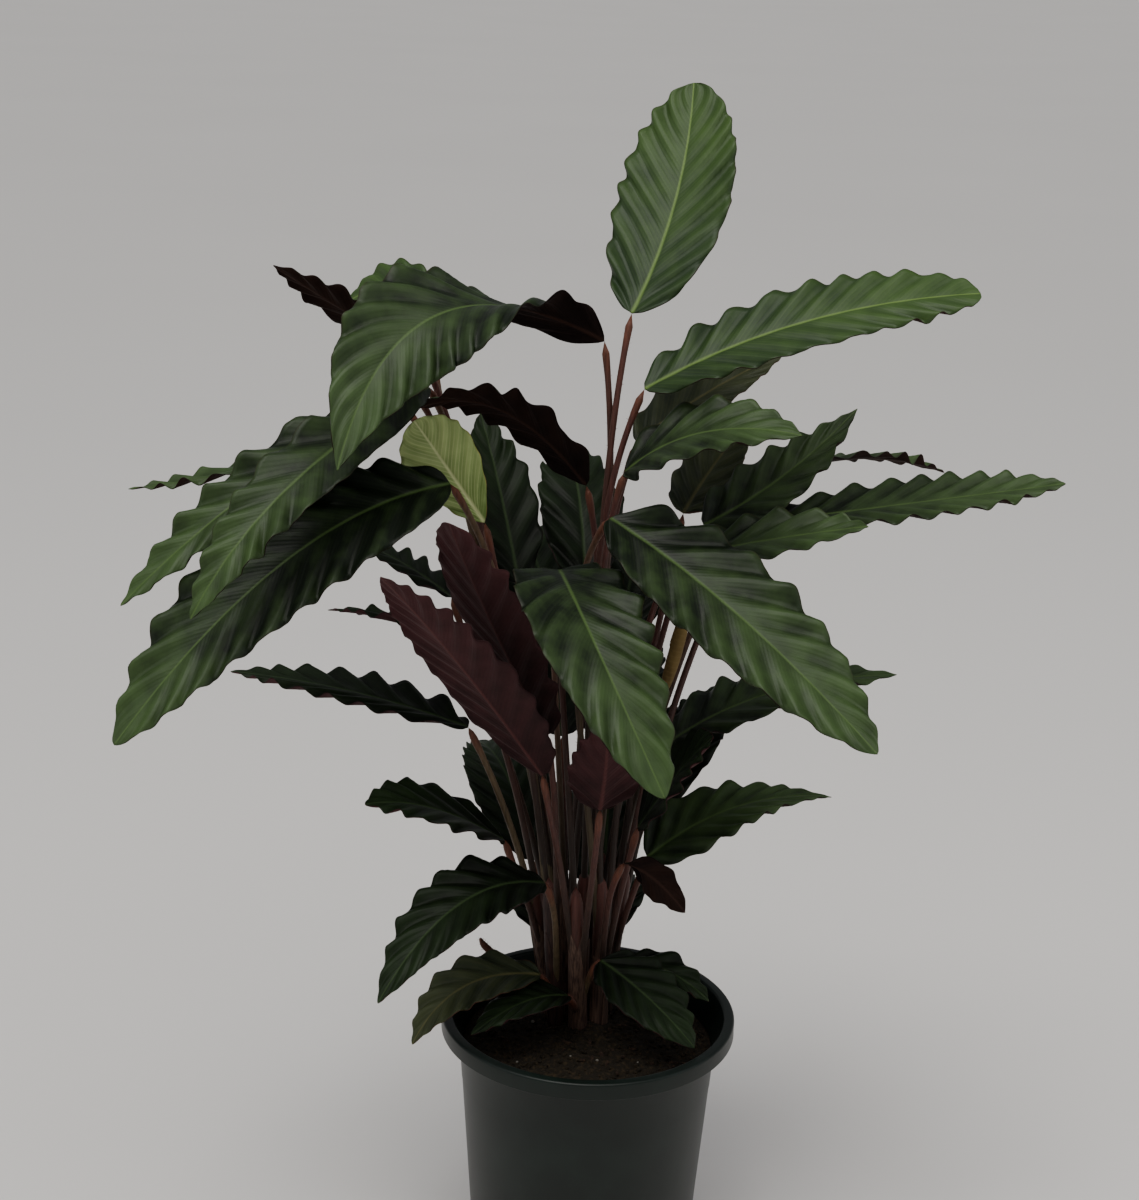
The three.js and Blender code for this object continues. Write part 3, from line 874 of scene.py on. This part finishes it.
    def build_down(self, paths: list[Path]) -> None:
        """Builds the down on the stalks: short slim spikes that lean upwards.

        Args:
            paths: The stalks' paths.
        """
        bm = bmesh.new()
        height = bm.verts.layers.float.new("height")
        spike = {"segments": 3, "radius1": self.hair_radius * MM, "radius2": self.hair_tip * MM}
        for path in paths:
            radius = self.thickness(path.length)
            for _ in range(self.hairs_a_stalk):
                step = self.random.randrange(6, len(path.points) - 2)
                root = path.points[step].lerp(path.points[step + 1], self.random.random())
                normal = path.around(step, self.random.uniform(0, math.tau))
                lean = (normal + path.tangents[step] * self.random.uniform(0.2, 0.7)).normalized()
                length = self.random.uniform(*self.hair_length)
                foot = root + normal * (radius(path.shares[step]) - self.hair_root)
                turned = lean.to_track_quat("Z", "Y").to_matrix().to_4x4()
                place = Matrix.Translation((foot + lean * (length / 2)) * MM) @ turned
                hair = bmesh.ops.create_cone(bm, cap_ends=True, depth=length * MM, matrix=place, **spike)
                for vert in hair["verts"]:
                    vert[height] = path.shares[step]
        finished(f"shoot_{self.name}_down", bm, [DOWN_SKIN], "", smooth=False)

    def build(self) -> None:
        """Builds the shoot's pieces."""
        paths = self.build_stalks()
        self.build_sheaths(paths)
        self.build_down(paths)


SHOOTS = [
    Shoot("centre", (-6, 18), [
        Blade(1, (10, 12, 566), (32, 50, 621), (41, 90, 680), 64, (0, 0), 8,
            FRESH, (0.55, 0.55), wave_share=0.11),
        Blade(2, (18, 0, 528), (101, 8, 565), (195, 20, 581), 50, (30, 28), 10,
            FRESH, (0.5, 0.45), wave_share=0.11, fade=1.2),
        Blade(13, (-4, 5, 552), (-90, -44, 572), (-134, -100, 504), 70, (60, -58), 10,
            MATURE, (0.8, 1), upright=5, fade=1.5),
    ]),
    Shoot("front", (-6, 3), [
        Blade(10, (-24, -12, 430), (-8, -88, 422), (32, -138, 352), 64, (0, 0), 8,
            MATURE, (0.5, 0.64), fade=1.7),
        Blade(22, (-30, -35, 320), (-75, -70, 396), (-112, -105, 452), 54, (20, 20), 10,
            OLD, (0.55, 0.85), wave_share=0.08),
        Blade(28, (-12, -14, 176), (-38, -28, 178), (-66, -38, 162), 36, (0, 0), 6),
        Blade(29, (6, -8, 196), (34, -28, 183), (60, -43, 161), 46, (10, 10), 6),
        Blade(36, (2, -38, 302), (4, -54, 334), (4, -68, 366), 40, (0, 0), 6),
    ]),
    Shoot("right_front", (6, 9), [
        Blade(3, (9, -10, 485), (48, -32, 513), (97, -58, 519), 52, (30, 25), 6, MATURE),
        Blade(8, (40, 0, 436), (91, -21, 454), (136, -42, 468), 44, (20, 20), 6, MATURE),
        Blade(9, (2, -23, 463), (68, -73, 428), (138, -120, 372), 64, (21, 25), 8,
            MATURE, (0.55, 0.7), fade=1.3),
        Blade(32, (17, -21, 263), (33, -31, 259), (51, -40, 243), 20, (-10, -140), 4, MATURE, (0.8, 0.8)),
        Blade(35, (24, -12, 281), (46, -22, 321), (62, -32, 344), 46, (30, 30), 6),
    ]),
    Shoot("right", (9, 22), [
        Blade(5, (54, 18, 449), (98, 36, 474), (139, 58, 508), 42, (20, 20), 6, MATURE, (0.55, 1)),
        Blade(7, (84, 20, 451), (166, 15, 466), (248, 10, 481), 46, (14, 12), 10, MATURE, (0.6, 0.65)),
        Blade(30, (23, 22, 181), (48, 12, 179), (70, 1, 167), 26, (15, 15), 4),
        Blade(31, (31, 12, 252), (82, 29, 278), (139, 50, 277), 46, (25, 5), 8, MATURE, (0.5, 1.1), fade=0.6),
        Blade(33, (37, 26, 314), (98, 53, 339), (177, 85, 342), 44, (10, 10), 8, MATURE),
        ROLLED,
    ]),
    Shoot("right_back", (0, 32), [
        Blade(4, (16, 32, 491), (54, 54, 515), (98, 78, 534), 36, (20, 20), 6, AGED),
        Blade(6, (84, 65, 459), (142, 95, 470), (202, 125, 456), 34, (-16, -16), 8, MATURE),
        Blade(34, (32, 60, 290), (56, 88, 308), (75, 120, 319), 32, (0, 0), 6),
        Blade(40, (12, 55, 370), (22, 115, 405), (36, 180, 400), 60, (0, 0), 8),
        Blade(42, (30, 70, 252), (56, 115, 290), (80, 160, 284), 52, (0, 0), 6),
        Blade(44, (-2, 62, 212), (4, 105, 238), (10, 150, 233), 50, (0, 0), 6),
        Blade(45, (6, 64, 300), (16, 112, 330), (28, 170, 330), 52, (0, 0), 8),
        Blade(48, (44, 45, 448), (61, 74, 468), (84, 98, 493), 34, (15, 15), 6, AGED),
        Blade(49, (8, 58, 230), (9, 90, 250), (10, 122, 258), 34, (0, 0), 6),
        Blade(51, (8, 60, 180), (14, 92, 194), (22, 128, 186), 42, (0, 0), 6),
    ]),
    Shoot("left_back", (-13, 31), [
        Blade(11, (-98, 50, 533), (-125, 88, 556), (-152, 118, 548), 50, (-50, -50), 6, FRESH),
        Blade(14, (-11, 16, 470), (-57, 8, 512), (-101, -5, 515), 35, (45, 40), 6, MATURE),
        Blade(15, (-100, 22, 536), (-139, 4, 563), (-176, -15, 590), 34, (30, 30), 6, MATURE),
        Blade(16, (-106, 22, 519), (-181, -40, 480), (-249, -70, 421), 40, (-20, -20), 8, MATURE, fade=1.2),
        Blade(17, (-112, 45, 503), (-191, 48, 469), (-267, 45, 452), 30, (0, 0), 8, MATURE),
        Blade(18, (-97, 8, 524), (-161, -78, 489), (-205, -115, 430), 40, (-20, -20), 8, MATURE, fade=1.2),
        Blade(24, (-85, 40, 396), (-115, 65, 408), (-151, 95, 414), 24, (0, 0), 6),
        Blade(37, (-9, 44, 402), (-15, 92, 446), (-24, 146, 461), 48, (0, 0), 6),
        Blade(38, (-47, 38, 406), (-60, 66, 454), (-73, 95, 490), 40, (0, 0), 6),
        Blade(43, (-34, 62, 225), (-54, 108, 262), (-74, 160, 262), 54, (0, 0), 8),
        Blade(46, (-20, 60, 306), (-30, 104, 342), (-44, 160, 350), 52, (0, 0), 8),
        Blade(47, (-27, 62, 366), (-38, 104, 398), (-54, 156, 410), 50, (0, 0), 8),
        Blade(50, (-24, 56, 180), (-34, 88, 194), (-46, 124, 186), 42, (0, 0), 6),
    ]),
    Shoot("left", (-21, 21), [
        Blade(20, (-72, -5, 335), (-140, 15, 347), (-210, 35, 349), 44, (0, 0), 8, fade=1.3),
        Blade(23, (-73, 10, 375), (-113, 25, 386), (-155, 40, 386), 34, (15, 15), 6),
        Blade(25, (-51, -5, 268), (-91, -28, 296), (-125, -50, 306), 44, (-15, -15), 6),
        STUB,
    ]),
    Shoot("left_front", (-18, 9), [
        Blade(12, (-65, -8, 454), (-87, -3, 484), (-104, 0, 507), 40, (-80, -66), 6,
            YOUNG, (0.85, 0.6), wave_share=0.08, fade=0.6),
        Blade(19, (-83, -23, 479), (-165, -65, 446), (-246, -110, 360), 68, (-28, -28), 10,
            MATURE, (0.55, 0.66), fade=3.0),
        Blade(21, (-28, -25, 340), (-58, -50, 410), (-80, -75, 472), 56, (5, 5), 8,
            OLD, (0.55, 0.55), wave_share=0.06),
        Blade(26, (-27, -18, 248), (-74, -52, 249), (-114, -90, 208), 46, (-15, -15), 8, fade=1.3),
        Blade(27, (-28, -5, 184), (-71, -20, 183), (-99, -40, 156), 36, (-15, -15), 6, AGED),
    ]),
]


@dataclass
class RolledLeaf:
    """A young leaf that is still rolled up: a slim spindle with the blade's edge winding round it."""

    leaf: Blade
    radius: float = 4.3
    taper: float = 0.7
    steps: int = 60
    sides: int = 20
    seam_depth: float = 0.7
    seam_turns: float = 1.6
    # The mark "off" that keeps the midrib's colour away from the spindle.
    rib_distance: float = 6.0

    def build(self) -> None:
        """Builds the spindle with its winding seam."""
        path = Path([self.leaf.rib(i / self.steps) for i in range(self.steps + 1)])
        bm = bmesh.new()
        marks = [bm.verts.layers.float.new(name) for name in LEAF_MARKS]
        for vert, step, across in sleeve(bm, path, self.sides):
            turn = math.pi * (across + 1)
            share = path.shares[step]
            wide = self.radius * math.sin(math.pi * share**self.taper)
            wound = (turn / math.tau + self.seam_turns * share) % 1.0
            vert.co = path.beside(step, turn, max(0.0, wide - self.seam_depth * wide / self.radius * wound))
            values = (share, share * path.length, self.rib_distance, 0.5, 1 - 2 * wound, share)
            for mark, value in zip(marks, values):
                vert[mark] = value
        bmesh.ops.recalc_face_normals(bm, faces=bm.faces[:])
        finished("rolled_leaf_spindle", bm, [UNDER_SIDES[YOUNG]], "rolled_leaf")


@dataclass
class NurseryPot:
    """The turned plastic pot, with its rolled rim and its drain holes."""

    height: float = 160.0
    rim_radius: float = 85.0
    rim_width: float = 6.4
    skirt_height: float = 10.0
    skirt_wall: float = 1.6
    ledge_height: float = 146.0
    ledge_radius: float = 74.6
    base_radius: float = 63.5
    base_recess: float = 0.8
    base_rounding: float = 2.0
    wall: float = 1.5
    wall_steps: Pair = (30.0, 118.0)
    floor: float = 2.5
    rounding: float = 1.6
    lip: float = 0.5
    drain_count: int = 8
    drain_radius: float = 4.5
    drain_ring: float = 48.0
    drain_sides: int = 24
    segments: int = 160

    def wall_radius(self, height: float) -> float:
        """Returns the outside radius of the tapered wall at a height."""
        return self.base_radius + (self.ledge_radius - self.base_radius) * height / self.ledge_height

    def corner(self, radius: float, height: float, size: float, start: float) -> list[Pair]:
        """Draws a rounded corner, a quarter of a circle.

        Args:
            radius: The radius of the rounding's centre.
            height: Its height.
            size: The rounding's own radius.
            start: The angle where it starts, in degrees from outwards.

        Returns:
            The corner's points.
        """
        angles = [math.radians(start + 90 * i / 6) for i in range(7)]
        return [(radius + size * math.cos(a), height + size * math.sin(a)) for a in angles]

    def profile(self) -> list[Pair]:
        """Draws the section of the pot.

        Returns:
            Its points, from the axis under the floor to the axis above it.
        """
        inner = self.rim_radius - self.rim_width
        skirt = self.height - self.skirt_height
        skirt_inside = self.rim_radius - self.skirt_wall
        under = self.height - self.skirt_wall
        crest = self.height - self.rounding
        floor_edge = self.wall_radius(self.floor) - self.wall
        recess, heel = self.base_recess, self.base_rounding
        points = [(0.0, recess), (self.base_radius - 9, recess), (self.base_radius - 8, 0.0)]
        points += self.corner(self.base_radius - heel, heel, heel, -90)
        # Two faint steps where the mould's wall changes thickness.
        for step in self.wall_steps:
            points += [(self.wall_radius(step) - 0.05, step), (self.wall_radius(step + 1) + 0.15, step + 1)]
        points += [(self.ledge_radius, self.ledge_height), (inner + self.wall, under - self.rounding)]
        points += [(inner + self.wall + self.rounding, under), (skirt_inside, under)]
        points += [(skirt_inside, skirt + 0.3), (self.rim_radius - 1.2, skirt)]
        points += self.corner(self.rim_radius - self.lip, skirt + 0.6, self.lip, -90)
        points += [(self.rim_radius - 0.1, self.height - self.skirt_height / 2)]
        points += self.corner(self.rim_radius - self.rounding, crest, self.rounding, 0)
        points += self.corner(inner + self.rounding, crest, self.rounding, 90)
        points += [(self.wall_radius(self.ledge_height) - self.wall, self.ledge_height)]
        points += [(floor_edge - 1, self.floor + 1), (floor_edge - 3, self.floor), (0.0, self.floor)]
        return points

    def build(self) -> None:
        """Turns the pot and cuts its drain holes."""
        turned = spun(self.profile(), self.segments)
        piece = finished("nursery_pot", turned, [POT_PLASTIC], "pot")
        radius = self.drain_radius * MM
        drill = {"radius1": radius, "radius2": radius, "depth": 4 * self.floor * MM}
        cutter = bmesh.new()
        for i in range(self.drain_count):
            place = Matrix.Rotation(math.tau * i / self.drain_count, 4, "Z")
            place @= Matrix.Translation((self.drain_ring * MM, 0.0, self.floor / 2 * MM))
            bmesh.ops.create_cone(cutter, cap_ends=True, segments=self.drain_sides, matrix=place, **drill)
        tool = placed("drain_cutter", kept("drain_cutter", cutter))
        holes = piece.modifiers.new("drain_holes", "BOOLEAN")
        holes.operation = "DIFFERENCE"
        holes.solver = "EXACT"
        holes.object = tool
        graph = bpy.context.evaluated_depsgraph_get()
        result = bpy.data.meshes.new_from_object(piece.evaluated_get(graph))
        piece.modifiers.remove(holes)
        piece.data = result
        bpy.data.objects.remove(tool)


@dataclass
class PottingSoil:
    """The soil: a low crumbly dome, with loose crumbs, bark chips and a few grains of perlite."""

    pot: NurseryPot
    edge: float = 140.0
    crown: float = 148.0
    clearance: float = 0.3
    unevenness: float = 1.2
    lump_heights: Pair = (1.3, 0.9)
    lump_sizes: Pair = (7.0, 2.6)
    fade_width: float = 4.0
    rings: int = 46
    segments: int = 150
    crumbs: int = 900
    chips: int = 70
    grains: int = 16
    tilt: float = 0.5
    sinking: float = 0.35
    raggedness: float = 0.28
    ragged_size: float = 1.3

    def height(self, x: float, y: float) -> float:
        """Works out the soil's surface, without its crumbs.

        Args:
            x: The place along X.
            y: The place along Y.

        Returns:
            The height there.
        """
        distance = math.hypot(x, y) / self.pot.wall_radius(self.edge)
        dome = self.edge + (self.crown - self.edge) * (1 - distance * distance)
        return dome + self.unevenness * math.sin(x * 0.13 + 1) * math.cos(y * 0.11 - 0.5)

    def build_body(self) -> None:
        """Builds the filling, with a lumpy surface."""
        top = self.pot.wall_radius(self.edge) - self.pot.wall - self.clearance
        bottom = self.pot.wall_radius(self.pot.floor) - self.pot.wall - 3.5
        low = self.pot.floor + self.clearance
        profile = [(0.0, low), (bottom, low), (bottom + 2.5, low + 3)]
        profile += [(top * ring / self.rings, self.edge) for ring in range(self.rings, -1, -1)]
        bm = spun(profile, self.segments)
        for vert in bm.verts:
            x, y, z = vert.co / MM
            if z < self.edge - 1:
                continue
            lumps = 0.0
            for size, rise, layer in zip(self.lump_sizes, self.lump_heights, (0.0, 4.0)):
                lumps += rise * noise.noise(Vector((x / size, y / size, layer)))
            fade = min(1.0, (top - math.hypot(x, y)) / self.fade_width)
            vert.co.z = (self.edge + (self.height(x, y) + lumps - self.edge) * max(0.0, fade)) * MM
        finished("soil_filling", bm, [POTTING_PEAT], "soil")

    def scatter(self, name: str, count: int, size: Pair, shape: Triple, finish: Finish) -> None:
        """Scatters loose bits over the surface, each half sunk in it.

        Args:
            name: The piece's name.
            count: How many bits.
            size: The smallest and largest radius.
            shape: How a bit is stretched along its own axes.
            finish: What it is made of.
        """
        chance = random.Random(name)
        reach = self.pot.wall_radius(self.edge) - self.pot.wall - 2.5
        bm = bmesh.new()
        for _ in range(count):
            angle = chance.uniform(0, math.tau)
            distance = reach * math.sqrt(chance.random())
            x, y = distance * math.cos(angle), distance * math.sin(angle)
            radius = chance.uniform(*size) * chance.uniform(0.6, 1.0)
            lean = Matrix.Rotation(chance.uniform(-self.tilt, self.tilt), 4, "X")
            lean @= Matrix.Rotation(chance.uniform(-self.tilt, self.tilt), 4, "Y")
            turn = Matrix.Rotation(chance.uniform(0, math.tau), 4, "Z") @ lean
            stretch = Matrix.Diagonal((*[radius * s for s in shape], 1.0))
            place = Matrix.Translation((x, y, self.height(x, y) + self.sinking * radius * shape[2]))
            whole = Matrix.Scale(MM, 4) @ place @ turn @ stretch
            made = bmesh.ops.create_icosphere(bm, subdivisions=1, radius=1.0, matrix=whole)["verts"]
            for vert in made:
                spot = vert.co / (self.ragged_size * MM)
                rough = Vector([noise.noise(spot + UP * shift) for shift in (0.0, 31.7, 63.4)])
                vert.co += rough * (self.raggedness * radius * MM)
        finished(name, bm, [finish], "", smooth=False)

    def build(self) -> None:
        """Builds the soil's pieces."""
        self.build_body()
        self.scatter("soil_crumbs", self.crumbs, (0.7, 2.1), (1.0, 0.9, 0.7), POTTING_PEAT)
        self.scatter("bark_chips", self.chips, (1.6, 3.4), (1.5, 0.6, 0.35), BARK)
        self.scatter("perlite_grains", self.grains, (0.8, 1.4), (1.0, 1.0, 0.9), PERLITE)


@dataclass
class Studio:
    """The floor, the soft lights and the camera."""

    floor_size: float = 40.0
    camera_place: Triple = (-18.2, -1144.4, 776.8)
    pitch: float = 17.8
    roll: float = 1.8
    focal_length: float = 44.0
    frame_height: float = 24.0
    far_clip: float = 200.0
    sky_strength: float = 0.34
    sun_strength: float = 1.5
    sun_angle: float = 35.0
    sun_place: Triple = (-0.25, -0.3, 1.0)
    # In metres, the middle of the plant, which the softboxes face.
    middle: Triple = (0.0, 0.0, 0.38)

    def build_floor(self) -> None:
        """Lays the pale floor."""
        bm = bmesh.new()
        bmesh.ops.create_grid(bm, x_segments=8, y_segments=8, size=self.floor_size)
        floor = placed("floor", kept("floor", bm))
        floor.data.materials.append(FLOOR_PAINT.material())

    def add_light(self, name: str, kind: str, power: float, colour: str, place: Triple, aim: Triple) -> Light:
        """Adds a light.

        Args:
            name: The light's name.
            kind: Its type.
            power: Its power in watts, or its strength if it is a sun.
            colour: Its colour.
            place: Where it is, in metres.
            aim: What it faces.

        Returns:
            The light's settings.
        """
        data = bpy.data.lights.new(name, kind)
        data.energy = power
        data.color = linear(colour)[:3]
        turned = (Vector(aim) - Vector(place)).to_track_quat("-Z", "Y").to_matrix().to_4x4()
        placed(name, data, Matrix.Translation(place) @ turned)
        return data

    def build_lights(self) -> None:
        """Sets the even light of the room, the daylight through a glass roof and the softboxes."""
        world = bpy.data.worlds.new("room")
        world.use_nodes = True
        sky = world.node_tree.nodes["Background"]
        sky.inputs["Color"].default_value = linear("#e9e9ec")
        sky.inputs["Strength"].default_value = self.sky_strength
        bpy.context.scene.world = world
        sun = self.add_light("roof_light", "SUN", self.sun_strength, "#fffdf8", self.sun_place, (0, 0, 0))
        sun.angle = math.radians(self.sun_angle)
        for name, place, size, power, colour in (
            ("softbox_above", (0.1, -0.9, 2.1), 1.8, 22.0, "#fffaf4"),
            ("softbox_left", (-1.7, -0.6, 1.1), 1.2, 4.0, "#fbfcff"),
            ("softbox_right", (1.7, -0.4, 1.0), 1.2, 5.0, "#fbfcff"),
        ):
            softbox = self.add_light(name, "AREA", power, colour, place, self.middle)
            softbox.shape = "SQUARE"
            softbox.size = size

    def build_camera(self) -> None:
        """Sets the camera at the photograph's place, tilted down and rolled a little."""
        data = bpy.data.cameras.new("camera")
        data.sensor_fit = "VERTICAL"
        data.sensor_height = self.frame_height
        data.lens = self.focal_length
        data.clip_end = self.far_clip
        tilt = Matrix.Rotation(math.radians(90 - self.pitch), 4, "X")
        roll = Matrix.Rotation(math.radians(self.roll), 4, "Z")
        place = Matrix.Translation(Vector(self.camera_place) * MM)
        bpy.context.scene.camera = placed("camera", data, place @ tilt @ roll)

    def build(self) -> None:
        """Builds the whole studio."""
        self.build_floor()
        self.build_lights()
        self.build_camera()


@dataclass
class PottedCalathea:
    """The whole plant in its pot."""

    pot: NurseryPot
    shoots: list[Shoot]

    def build(self) -> None:
        """Builds the pot, the soil, the shoots and the leaves."""
        self.pot.build()
        PottingSoil(self.pot).build()
        for shoot in self.shoots:
            shoot.build()
            for leaf in shoot.leaves:
                if leaf.number:
                    leaf.build()
        RolledLeaf(ROLLED).build()


def main() -> None:
    """Builds the studio and the plant."""
    Studio().build()
    PottedCalathea(NurseryPot(), SHOOTS).build()
    bpy.context.view_layer.update()


if __name__ == "__main__":
    main()
